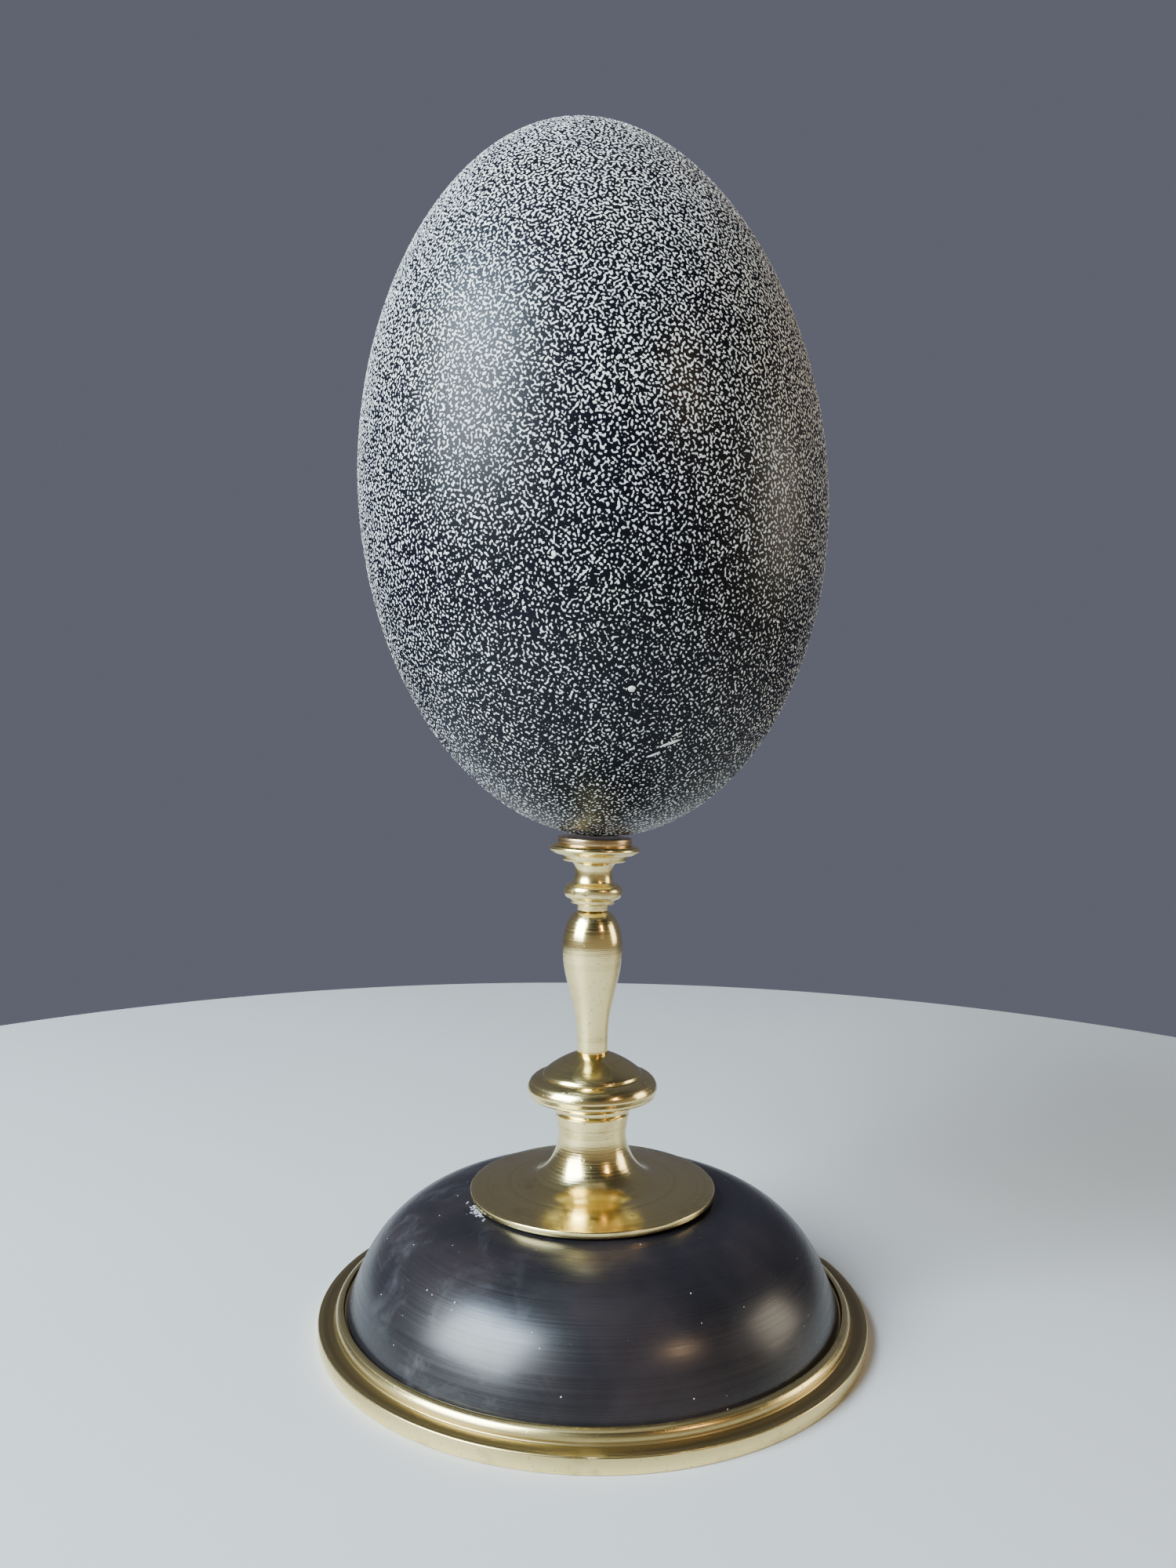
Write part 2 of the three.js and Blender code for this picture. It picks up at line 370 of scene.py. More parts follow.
@dataclass(frozen=True)
class EbonisedWood:
    """Black polished wood with turning lines, pale rub marks that show most on the lit left side, partly
    as painted sheen, and white dust.
    """

    black: Colour = (0.010, 0.009, 0.011)
    brown: Colour = (0.019, 0.0145, 0.016)
    # pale colour of the rub marks and of the painted sheen on the lit left side
    haze_and_sheen: Colour = (0.16, 0.155, 0.18)
    dust: Colour = (0.78, 0.76, 0.74)
    dust_specks: tuple[Specks, ...] = ((380.0, 0.05, 0.20), (800.0, 0.08, 0.07), (150.0, 0.028, 0.10))
    dust_height: float = 0.05 * MM
    line_scale: float = 1500.0
    line_depth: float = 0.008 * MM
    scuff_and_sheen_left: float = -42 * MM
    scuff_and_sheen_right: float = 4 * MM
    scuff_and_sheen_colour: float = 0.18
    scuff_and_sheen_roughness: float = 0.2
    dust_roughness: float = 0.4

    def scuffs_and_sheen(self, made: Finish) -> Socket:
        """Pale rub marks, strongest on the left side where the window light falls: partly real rubbing,
        partly painted sheen.
        """
        cloud = made.noise(made.place, 130.0, detail=6.0, roughness=0.65, distortion=0.5)
        streaks = made.noise(made.scaled(made.turning(), (0.4, 1.0, 1.0)), 900.0, detail=3.0)
        x = made.axes(made.place)[0]
        # painted sheen: the pale marks fade from the lit left side towards the right
        left = made.spread(x, self.scuff_and_sheen_left, self.scuff_and_sheen_right, 1.0, 0.12)
        patch = made.math("MULTIPLY", made.spread(cloud, 0.50, 0.74), left)
        brushed_and_lit = made.math("MULTIPLY", patch, made.spread(streaks, 0.3, 0.7, 0.5, 1.0))
        scratch = made.noise(made.scaled(made.place, (1.0, 1.0, 7.0)), 240.0, detail=5.0,
                             roughness=0.7, distortion=1.2)
        fine = made.math("MULTIPLY", made.spread(scratch, 0.62, 0.72, 0.0, 0.5), left)
        return made.math("MAXIMUM", brushed_and_lit, fine)

    def material(self, place: Matrix) -> bpy.types.Material:
        """Material of the dome for this place."""
        made = Finish("ebonised_wood", place)
        lines = made.noise(made.turning(), self.line_scale, detail=3.0, roughness=0.7)
        cloud = made.noise(made.place, 60.0, detail=3.0)
        scuff_and_sheen = self.scuffs_and_sheen(made)
        dust = 0.0
        for specks in self.dust_specks:
            dust = made.math("MAXIMUM", dust, made.specks(*specks))
        body = made.blend(made.spread(cloud, 0.42, 0.68), self.black, self.brown)
        # pale mix: rub marks, plus painted sheen on the lit left side
        body = made.blend(made.math("MULTIPLY", scuff_and_sheen, self.scuff_and_sheen_colour), body, self.haze_and_sheen)
        made.set("Base Color", made.blend(dust, body, self.dust))
        gloss = made.spread(lines, 0.3, 0.7, 0.24, 0.33)
        gloss = made.math("ADD", gloss, made.math("MULTIPLY", scuff_and_sheen, self.scuff_and_sheen_roughness))
        dusty = made.math("MULTIPLY", dust, self.dust_roughness)
        made.set("Roughness", made.math("ADD", gloss, dusty))
        made.set("Specular IOR Level", 0.5)
        fine = made.bump(lines, self.line_depth, 0.5)
        made.set("Normal", made.bump(dust, self.dust_height, 0.6, under=fine))
        return made.material


@dataclass(frozen=True)
class GranulePattern:
    """Where the egg's pale granules lie: the shell's finish and the granule meshes both read it.

    A noise less its own mean a short way off along the shell makes a maze of short, branching
    ridges of even width. Places and heights are the egg's own, from its middle.
    """

    scale: float = 1930.0
    stretch: tuple[float, float, float] = (1.0, 1.0, 0.90)
    reach: float = 0.30 * MM
    bend: float = 0.45 * MM
    bend_scale: float = 1150.0
    sharpness: float = 0.8
    flatness: tuple[float, float, float] = (1.0, 1.0, 0.43)
    mottle_scale: float = 75.0
    mottle: float = 0.022
    low_z: float = -60 * MM
    high_z: float = 46 * MM
    low_limit: float = 0.632
    high_limit: float = 0.556

    def along_shell(self, graph: Graph, place: Socket) -> tuple[Socket, Socket]:
        """Directions round the egg and up it at a place, as long as the pattern's reach."""
        normal = graph.scaled(place, self.flatness)
        across = graph.vector("NORMALIZE", graph.vector("CROSS_PRODUCT", (0.0, 0.0, 1.0), normal))
        up = graph.vector("NORMALIZE", graph.vector("CROSS_PRODUCT", normal, across))
        reach = (self.reach, self.reach, self.reach)
        return graph.scaled(across, reach), graph.scaled(up, reach)

    def bent(self, graph: Graph, place: Socket) -> Socket:
        """A place moved a little by a coarser noise, which draws the ridges out into worms."""
        noise_at = graph.noise(place, self.bend_scale, 0.0, output="Color")
        centred = graph.vector("SUBTRACT", noise_at, (0.5, 0.5, 0.5))
        return graph.vector("ADD", place, graph.scaled(centred, (self.bend, self.bend, self.bend)))

    def field(self, graph: Graph, place: Socket) -> Socket:
        """The height of the maze, around a half; its tops carry granules."""
        place = self.bent(graph, place)
        across, up = self.along_shell(graph, place)
        around = 0.0
        for way in (across, up):
            for operation in ("ADD", "SUBTRACT"):
                there = graph.scaled(graph.vector(operation, place, way), self.stretch)
                around = graph.math("ADD", around, graph.noise(there, self.scale, 0.0))
        here = graph.noise(graph.scaled(place, self.stretch), self.scale, 0.0)
        less = graph.math("MULTIPLY", around, -self.sharpness / 4)
        return graph.math("ADD", graph.math("ADD", here, less), self.sharpness / 2)

    def cover(self, graph: Graph, place: Socket) -> Socket:
        """How far the noise stands above the limit at a place; above 0 there is a granule."""
        height = graph.axes(place)[2]
        limit = graph.spread(height, self.low_z, self.high_z, self.low_limit, self.high_limit)
        mottle = graph.noise(place, self.mottle_scale, detail=2.0)
        shift = graph.math("MULTIPLY", graph.math("SUBTRACT", mottle, 0.5), -2 * self.mottle)
        bound = graph.math("ADD", limit, shift)
        return graph.math("SUBTRACT", self.field(graph, place), bound)


@dataclass(frozen=True)
class EmuShell:
    """Dark shell ground under pale granules."""

    pattern: GranulePattern
    ground: Colour = (0.0022, 0.0024, 0.0060)
    ground_green: Colour = (0.0026, 0.0036, 0.0058)
    pale: Colour = (0.90, 0.90, 0.87)
    dull: Colour = (0.62, 0.63, 0.645)
    step: float = 0.014
    height: float = 0.06 * MM
    roughness: float = 0.36
    grain_scale: float = 5200.0
    grain_height: float = 0.012 * MM

    def pale_colour(self, made: Finish) -> Socket:
        """Colour of the granules, which varies from one to the next."""
        shade = made.noise(made.place, 420.0, detail=3.0, roughness=0.6)
        broad = made.noise(made.place, 45.0, detail=2.0)
        colour = made.blend(made.spread(shade, 0.35, 0.65), self.dull, self.pale)
        warm = (self.pale[0] * 1.05, self.pale[1] * 0.98, self.pale[2] * 0.86)
        return made.blend(made.spread(broad, 0.5, 0.7, 0.0, 0.5), colour, warm)

    def grain(self, made: Finish, strength: float) -> Socket:
        """Normal with the finest grain of the shell."""
        return made.bump(made.noise(made.place, self.grain_scale), self.grain_height, strength)

    def material(self) -> bpy.types.Material:
        """Material of the shell, with the pattern of the granules in colour and relief."""
        made = Finish("emu_shell", STACK.egg())
        cover = self.pattern.cover(made, made.place)
        raised = made.spread(cover, -self.step, self.step)
        tint = made.spread(made.noise(made.place, 60.0, detail=2.0), 0.4, 0.62)
        ground = made.blend(tint, self.ground, self.ground_green)
        made.set("Base Color", made.blend(raised, ground, self.pale_colour(made)))
        made.set("Roughness", self.roughness)
        made.set("Specular IOR Level", 0.15)
        fine = self.grain(made, 0.4)
        made.set("Normal", made.bump(raised, self.height, 1.0, under=fine))
        return made.material

    def granule_material(self) -> bpy.types.Material:
        """Material of the granules that stand on the shell."""
        made = Finish("emu_granules", STACK.egg())
        made.set("Base Color", self.pale_colour(made))
        rub = made.noise(made.place, 900.0, detail=2.0)
        made.set("Roughness", made.spread(rub, 0.35, 0.65, 0.28, 0.40))
        made.set("Specular IOR Level", 0.7)
        made.set("Normal", self.grain(made, 0.5))
        return made.material


@dataclass(frozen=True)
class Chalk:
    """Dry, pale matter in two tones: the chips on the egg and the crumbs of dust."""

    name: str
    first: Colour
    second: Colour
    scale: float
    roughness: tuple[float, float]
    relief: float
    depth: float = 0.05 * MM

    def material(self) -> bpy.types.Material:
        """Material of the chips or crumbs."""
        made = Finish(self.name)
        cloud = made.noise(made.place, self.scale, detail=3.0)
        made.set("Base Color", made.blend(made.spread(cloud, 0.35, 0.65), self.first, self.second))
        made.set("Roughness", made.spread(cloud, 0.3, 0.7, *self.roughness))
        made.set("Normal", made.bump(cloud, self.depth, self.relief))
        return made.material


CHIP_FINISH = Chalk("emu_chips", (0.90, 0.90, 0.87), (0.86, 0.83, 0.72), 1600.0, (0.5, 0.65), 0.6)
DUST_FINISH = Chalk("dust", (0.24, 0.23, 0.26), (0.50, 0.49, 0.54), 2200.0, (0.8, 0.95), 0.8)


@dataclass(frozen=True)
class Plaster:
    """Pale, matt floor."""

    tone: Colour = (0.57, 0.57, 0.565)
    shade: float = 0.96

    def material(self) -> bpy.types.Material:
        """Material of the floor."""
        made = Finish("pale_floor")
        grain = made.noise(made.place, 14.0, detail=3.0)
        darker = tuple(value * self.shade for value in self.tone)
        made.set("Base Color", made.blend(grain, darker, self.tone))
        made.set("Roughness", 0.55)
        return made.material


SHARP_ANGLE = math.radians(24)
NICK_WAY = Vector((0, 0.9, -0.45))
LUMP_UNEVENNESS = 0.35
LUMP_SCALE = 4600.0


class Outline:
    """Points of a turned piece's outline, from the axis below to the axis above."""

    def __init__(self) -> None:
        """Starts with no points."""
        self.points: list[tuple[float, float]] = []

    def to(self, *points: tuple[float, float]) -> "Outline":
        """Adds straight stretches to points of radius and height in millimetres."""
        for radius, height in points:
            point = (radius * MM, height * MM)
            if not self.points or math.dist(point, self.points[-1]) > 1e-6:
                self.points.append(point)
        return self

    def quarter(self, start: tuple[float, float], end: tuple[float, float], steps: int = 14,
                upright_first: bool = True, bulge: float = 1.0) -> "Outline":
        """Adds a quarter ellipse between the corners of its box.

        Args:
            start: radius and height where it begins, in millimetres.
            end: radius and height where it ends, in millimetres.
            steps: straight steps along it.
            upright_first: whether it starts upright, or else level.
            bulge: 1 for a round quarter, more for a fuller one.

        Returns:
            The outline.
        """
        for i in range(steps + 1):
            turn = i / steps * math.pi / 2
            early = max(math.sin(turn), 0.0) ** (1 / bulge)
            late = 1 - max(math.cos(turn), 0.0) ** (1 / bulge)
            across, up = (late, early) if upright_first else (early, late)
            self.to((start[0] + (end[0] - start[0]) * across, start[1] + (end[1] - start[1]) * up))
        return self

    def swell(self, start: tuple[float, float], end: tuple[float, float],
              steps: int = 24) -> "Outline":
        """Adds a smooth swell between two heights, upright at both ends."""
        for i in range(steps + 1):
            share = i / steps
            ease = (1 - math.cos(math.pi * share)) / 2
            self.to((start[0] + (end[0] - start[0]) * ease, start[1] + (end[1] - start[1]) * share))
        return self

    def spigot(self, seat: float) -> "Outline":
        """Starts on the axis with a flat seat and the spigot below it."""
        radius, tip = STACK.spigot_radius / MM, seat - STACK.spigot_length / MM
        return self.to((0, tip), (radius, tip), (radius, seat))

    def socket(self, seat: float, clearance: float = STACK.clearance) -> "Outline":
        """Ends on the axis with a socket for the spigot of the piece above."""
        radius = (STACK.spigot_radius + clearance) / MM
        floor = seat - (STACK.spigot_length + STACK.clearance) / MM
        return self.to((radius, seat), (radius, floor), (0, floor))

    def turned(self, sides: int, corner: float, rounding: int = 2) -> bmesh.types.BMesh:
        """Turns the outline about the axis and rounds its corners.

        Args:
            sides: steps of the full turn.
            corner: width of the rounding on a sharp corner, in metres.
            rounding: segments of that rounding.

        Returns:
            The closed solid.
        """
        bm = spun(self.points, sides)
        sharp = [edge for edge in bm.edges if edge.calc_face_angle(0.0) > SHARP_ANGLE]
        bmesh.ops.bevel(bm, geom=sharp, offset=corner, offset_type="OFFSET", segments=rounding,
                        profile=0.5, affect="EDGES", clamp_overlap=True, material=-1)
        bmesh.ops.recalc_face_normals(bm, faces=bm.faces)
        put_in_order(bm)
        return bm


def put_in_order(bm: bmesh.types.BMesh) -> None:
    """Sorts a shape's vertices, edges and faces by their places.

    A spin and a bevel leave them in another order on each run, and the granules are scattered face
    by face, so without this they would fall elsewhere each time.
    """
    spots = (
        (bm.verts, {vert: tuple(vert.co) for vert in bm.verts}),
        (bm.edges, {edge: tuple(edge.verts[0].co + edge.verts[1].co) for edge in bm.edges}),
        (bm.faces, {face: tuple(face.calc_center_median()) for face in bm.faces}),
    )
    for items, spot in spots:
        ranks = {item: rank for rank, item in enumerate(sorted(spot, key=spot.get))}
        items.sort(key=ranks.get)


def spun(points: list[tuple[float, float]], sides: int) -> bmesh.types.BMesh:
    """Spins points about the axis.

    Args:
        points: radius and height of each point, in metres, from the axis to the axis.
        sides: steps of the full turn.

    Returns:
        The closed shape, its faces outward and in order.
    """
    bm = bmesh.new()
    verts = [bm.verts.new((radius, 0, height)) for radius, height in points]
    edges = [bm.edges.new(pair) for pair in zip(verts, verts[1:])]
    bmesh.ops.spin(bm, geom=verts + edges, cent=(0, 0, 0), axis=(0, 0, 1),
                   angle=2 * math.pi, steps=sides, use_merge=True)
    bmesh.ops.remove_doubles(bm, verts=bm.verts, dist=1e-7)
    bmesh.ops.recalc_face_normals(bm, faces=bm.faces)
    put_in_order(bm)
    return bm


def dent(bm: bmesh.types.BMesh, azimuth: float, spot: tuple[float, float], reach: float,
         depth: float) -> None:
    """Pushes a shallow nick into a turned shape.

    Args:
        bm: the shape, about its own axis.
        azimuth: degrees round from the front.
        spot: radius and height of the nick, in millimetres.
        reach: how far the nick spreads, in millimetres.
        depth: how deep it is, in millimetres.
    """
    turn = Matrix.Rotation(math.radians(azimuth), 4, "Z")
    centre = turn @ Vector((0, -spot[0] * MM, spot[1] * MM))
    inward = turn @ NICK_WAY
    for vert in bm.verts:
        away = (vert.co - centre).length / (reach * MM)
        if away < 1:
            vert.co += inward * depth * MM * (1 - away * away)


def lump(bm: bmesh.types.BMesh, size: tuple[float, float, float], place: Matrix,
         key: Vector) -> None:
    """Adds a small uneven lump.

    Args:
        bm: the shape to add to.
        size: length, width and height in millimetres.
        place: where it goes and how it is turned.
        key: any point, which decides how uneven it is.
    """
    made = bmesh.ops.create_icosphere(bm, subdivisions=2, radius=MM / 2)["verts"]
    for vert in made:
        vert.co *= 1 + LUMP_UNEVENNESS * noise.noise(vert.co * LUMP_SCALE + key)
    bmesh.ops.transform(bm, matrix=place @ Matrix.Diagonal((*size, 1)), verts=made)


def settle(name: str, bm: bmesh.types.BMesh, place: Matrix,
           material: bpy.types.Material) -> bpy.types.Object:
    """Makes an object of a shape, with its place in its mesh and its object at the origin.

    Args:
        name: name of the piece.
        bm: the shape, which is freed.
        place: where the shape goes.
        material: its finish.

    Returns:
        The new object, smooth shaded.
    """
    bmesh.ops.transform(bm, matrix=place, verts=bm.verts)
    for face in bm.faces:
        face.smooth = True
    mesh = bpy.data.meshes.new(name)
    bm.to_mesh(mesh)
    bm.free()
    mesh.materials.append(material)
    made = bpy.data.objects.new(name, mesh)
    bpy.context.scene.collection.objects.link(made)
    return made


def fit(piece: bpy.types.Object, slot: str, *nodes: str) -> None:
    """Lets a piece ride on the stand and stand for CAD nodes, and reports it."""
    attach(piece, "root")
    if nodes:
        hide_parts(*nodes)
    piece.data.calc_loop_triangles()
    LOG.info("%s: %d triangles", piece.name, len(piece.data.loop_triangles))


@dataclass
class BasePlate:
    """Brass base with an upright side, a flat step and a rounded bead."""

    radius: float = 52.0
    step_z: float = 2.84
    bead_foot: float = 49.0
    bead_inner: float = 47.25
    bead_top: float = 4.9
    sides: int = 360
    corner: float = 0.28 * MM
    gouges: tuple[tuple[float, float], ...] = (
        (-2.4, 2.8), (-0.9, 2.7), (15.7, 1.9), (112, 2.7), (-141, 2.8))
    gouge_reach: float = 1.1
    gouge_depth: float = 0.32

    def build(self, finish: bpy.types.Material) -> bpy.types.Object:
        """Turns and dresses the base plate."""
        seat = STACK.dome_seat / MM
        outline = Outline().to((0, 0), (self.radius, 0), (self.radius, self.step_z))
        outline.to((self.bead_foot, self.step_z))
        outline.quarter((self.bead_foot, self.step_z), (self.bead_inner, self.bead_top), bulge=1.15)
        outline.to((self.bead_inner, seat), (0, seat))
        bm = outline.turned(self.sides, self.corner, 3)
        for azimuth, height in self.gouges:
            dent(bm, azimuth, (self.radius, height), self.gouge_reach, self.gouge_depth)
        return settle("base_plate_fine", bm, STACK.straight(), finish)


@dataclass
class Dome:
    """Black dome with a steep side, a round shoulder and a shallow cone to the foot."""

    foot_radius: float = 46.9
    side_slope: float = 67.0
    shoulder: float = 22.0
    top_slope: float = 11.0
    top_radius: float = 22.6
    sides: int = 240
    corner: float = 0.3 * MM
    crumb_count: int = 48
    crumb_seed: int = 4
    crumb_azimuth: float = -66.0
    crumb_spread: float = 5.5
    crumb_radius: float = 23.6
    crumb_scatter: float = 0.6
    crumb_sizes: tuple[float, float] = (0.12, 0.50)

    def shoulder_points(self, steps: int = 36) -> list[tuple[float, float]]:
        """Points of the arc that rounds the corner between the side and the top cone."""
        side, top = math.radians(self.side_slope), math.radians(self.top_slope)
        seat = STACK.dome_seat / MM
        run, rise = self.foot_radius - self.top_radius, STACK.dome_top / MM - seat
        length = (run * math.sin(top) - rise * math.cos(top)) / math.sin(top - side)
        length -= self.shoulder * math.tan((side - top) / 2)
        centre_r = self.foot_radius - length * math.cos(side) - self.shoulder * math.sin(side)
        centre_z = seat + length * math.sin(side) - self.shoulder * math.cos(side)
        slopes = [side + (top - side) * i / steps for i in range(steps + 1)]
        return [(centre_r + self.shoulder * math.sin(a), centre_z + self.shoulder * math.cos(a))
                for a in slopes]

    def build(self, finish: bpy.types.Material) -> bpy.types.Object:
        """Turns and dresses the dome."""
        seat, top = STACK.dome_seat / MM, STACK.dome_top / MM
        outline = Outline().to((0, seat), (self.foot_radius, seat), *self.shoulder_points())
        outline.to((self.top_radius, top)).socket(top, STACK.loose_clearance)
        bm = outline.turned(self.sides, self.corner, 3)
        return settle("dome_fine", bm, STACK.straight(), finish)

    def crumbs(self, finish: bpy.types.Material) -> bpy.types.Object:
        """Pale crumbs that have gathered on the dome at the left edge of the brass foot."""
        bm = bmesh.new()
        chance = random.Random(self.crumb_seed)
        for _ in range(self.crumb_count):
            azimuth = math.radians(chance.gauss(self.crumb_azimuth, self.crumb_spread))
            radius = self.crumb_radius + abs(chance.gauss(0, self.crumb_scatter))
            size = chance.uniform(*self.crumb_sizes)
            fall = (radius - self.top_radius) * math.tan(math.radians(self.top_slope))
            spot = Matrix.Translation((0, -radius * MM, STACK.dome_top - fall * MM))
            turn = Matrix.Rotation(azimuth, 4, "Z") @ spot
            twist = Matrix.Rotation(chance.uniform(0, math.pi), 4, "Z")
            lump(bm, (size * 1.3, size, size * 0.5), turn @ twist, Vector((radius, azimuth, size)))
        return settle("dome_crumbs", bm, STACK.straight(), finish)


@dataclass
class Foot:
    """Thin brass disc with a flared neck."""

    radius: float = 23.5
    rim: float = 1.15
    disc_rise: float = 1.0
    flare_radius: float = 14.6
    neck_radius: float = 6.5
    neck_z: float = 35.6
    lip_radius: float = 7.15
    sides: int = 160
    corner: float = 0.2 * MM

    def build(self, finish: bpy.types.Material) -> bpy.types.Object:
        """Turns and dresses the foot."""
        seat, top = STACK.foot_seat / MM, STACK.knop_seat / MM
        disc = seat + self.rim
        outline = Outline().spigot(seat).to((self.radius, seat), (self.radius, disc))
        outline.quarter((self.flare_radius, disc + self.disc_rise), (self.neck_radius, self.neck_z),
                        28, upright_first=False)
        outline.to((self.lip_radius, top)).socket(top)
        bm = outline.turned(self.sides, self.corner, 3)
        return settle("foot_fine", bm, STACK.upright(), finish)


@dataclass
class Knop:
    """Rolled brass knop: stepped underside, thin lip, rolled body, fillet and domed cap."""

    step_radius: float = 7.45
    step_z: float = 40.6
    lip_radius: float = 12.2
    lip_z: float = 42.5
    radius: float = 12.55
    body_top: tuple[float, float] = (10.1, 46.5)
    cap_radius: float = 9.45
    cap_z: float = 47.0
    cap_end: float = 3.28
    sides: int = 128
    corner: float = 0.12 * MM

    def build(self, finish: bpy.types.Material) -> bpy.types.Object:
        """Turns and dresses the knop."""
        seat, top = STACK.knop_seat / MM, STACK.stem_seat / MM
        waist = self.lip_z + 1.5
        outline = Outline().spigot(seat)
        outline.to((self.step_radius - 0.3, seat), (self.step_radius, seat + 0.8))
        outline.quarter((self.step_radius, self.step_z), (self.lip_radius - 0.3, self.lip_z), 10)
        outline.to((self.lip_radius, self.lip_z + 0.25), (self.lip_radius - 0.05, self.lip_z + 0.6))
        outline.quarter((self.radius, waist), self.body_top, 18, bulge=0.9)
        outline.to((self.cap_radius + 0.1, self.body_top[1]))
        outline.quarter((self.cap_radius, self.cap_z), (self.cap_end, top), 18, bulge=0.6)
        bm = outline.socket(top).turned(self.sides, self.corner)
        return settle("knop_fine", bm, STACK.upright(), finish)


@dataclass
class Stem:
    """Slim brass shaft that swells into a pear shape."""

    shaft_radius: float = 2.98
    shaft_top: float = 53.5
    pear_radius: float = 5.83
    pear_z: float = 71.6
    pear_top_radius: float = 3.05
    sides: int = 96
    corner: float = 0.15 * MM

    def build(self, finish: bpy.types.Material) -> bpy.types.Object:
        """Turns and dresses the stem."""
        seat = STACK.stem_seat / MM
        top = (STACK.collar_seat - STACK.clearance) / MM
        outline = Outline().spigot(seat).to((self.shaft_radius, seat))
        outline.swell((self.shaft_radius, self.shaft_top), (self.pear_radius, self.pear_z), 28)
        outline.quarter((self.pear_radius, self.pear_z), (self.pear_top_radius, top), 20, bulge=0.85)
        bm = outline.socket(top).turned(self.sides, self.corner)
        return settle("stem_fine", bm, STACK.upright(), finish)


@dataclass
class Collar:
    """Brass spool with a pin neck, bead, waist, disc and flange."""

    neck_radius: float = 2.95
    step_radius: float = 4.25
    bead_radius: float = 5.6
    waist_radius: float = 3.6
    disc_radius: float = 6.2
    flange_radius: float = 8.7
    sides: int = 144
    corner: float = 0.1 * MM
    nicks: tuple[tuple[float, float], ...] = ((-42.4, 3.64), (-24.1, 3.51), (-13.7, 3.59))
    nick_reach: float = 0.45
    nick_depth: float = 0.14

    def build(self, finish: bpy.types.Material) -> bpy.types.Object:
        """Turns and dresses the collar."""
        step, bead, waist = self.step_radius, self.bead_radius, self.waist_radius
        disc, flange, height = self.disc_radius, self.flange_radius, STACK.collar_height / MM
        outline = Outline().spigot(0).to((self.neck_radius, 0), (self.neck_radius, 1.1))
        outline.to((step, 1.4), (step, 2.05), (step + 0.55, 2.35))
        outline.quarter((step + 0.55, 2.35), (bead, 3.55), 8, upright_first=False)
        outline.quarter((bead, 3.9), (waist + 0.9, 5.05), 8, bulge=0.9)
        outline.quarter((waist + 0.8, 5.1), (waist, 7.2), 10, upright_first=False)
        outline.quarter((waist, 7.2), (waist + 0.95, 9.3), 10)
        outline.to((disc - 0.25, 9.5), (disc, 9.75), (disc, 10.6), (flange - 1.1, 10.85))
        outline.quarter((flange - 0.5, 11.3), (flange, 11.9), 6, upright_first=False)
        outline.to((flange - 0.15, 12.2), (flange - 0.75, height), (0, height))
        bm = outline.turned(self.sides, self.corner)
        for azimuth, height in self.nicks:
            dent(bm, azimuth, (self.bead_radius, height), self.nick_reach, self.nick_depth)
        return settle("collar_fine", bm, STACK.collar(), finish)


@dataclass
class SeatRing:
    """Short brass drum whose dished top carries the egg."""

    radius: float = 7.15
    height: float = 1.5
    dish: float = 0.25
    edge: float = 0.5
    sides: int = 96
    corner: float = 0.12 * MM

    def build(self, finish: bpy.types.Material) -> bpy.types.Object:
        """Turns and dresses the seat ring."""
        rim, steps = self.radius - self.edge, 8
        outline = Outline().to((0, 0), (self.radius, 0), (self.radius, self.height))
        for i in range(steps + 1):
            share = 1 - i / steps
            outline.to((rim * share, self.height - self.dish * (1 - share * share)))
        bm = outline.turned(self.sides, self.corner)
        return settle("seat_ring_fine", bm, STACK.ring(), finish)


@dataclass(frozen=True)
class Chip:
    """A cream chip or rub on the egg: degrees round from the front, then sizes in millimetres."""

    azimuth: float
    height: float
    length: float
    width: float
    slant: float = 0.0


CHIPS = (
    Chip(6.2, -40.2, 1.25, 1.15),
    Chip(-9.9, -18.8, 0.8, 1.0, 30.0),
    Chip(19.8, -49.3, 3.9, 0.55, 20.0),
    Chip(14.4, -51.1, 2.3, 0.40, 24.0),
    Chip(21.3, -47.9, 2.0, 0.25, 28.0),
    Chip(33.0, -44.0, 0.9, 0.6, 10.0),
    Chip(-31.0, -35.5, 0.8, 0.7, 50.0),
    Chip(48.0, -30.0, 1.0, 0.5, -15.0),
    Chip(150.0, -22.0, 1.1, 0.9, 20.0),
    Chip(-128.0, 12.0, 0.9, 0.8, 0.0),
)


class EggBand(Enum):
    """Heights from the egg's middle, in millimetres, between which each granule mesh lies."""

    BASE = (-70.0, -30.0)
    BELLY = (-30.0, -9.0)
    WAIST = (-9.0, 10.0)
    SHOULDER = (10.0, 28.0)
    CROWN = (28.0, 46.0)
    TIP = (46.0, 70.0)


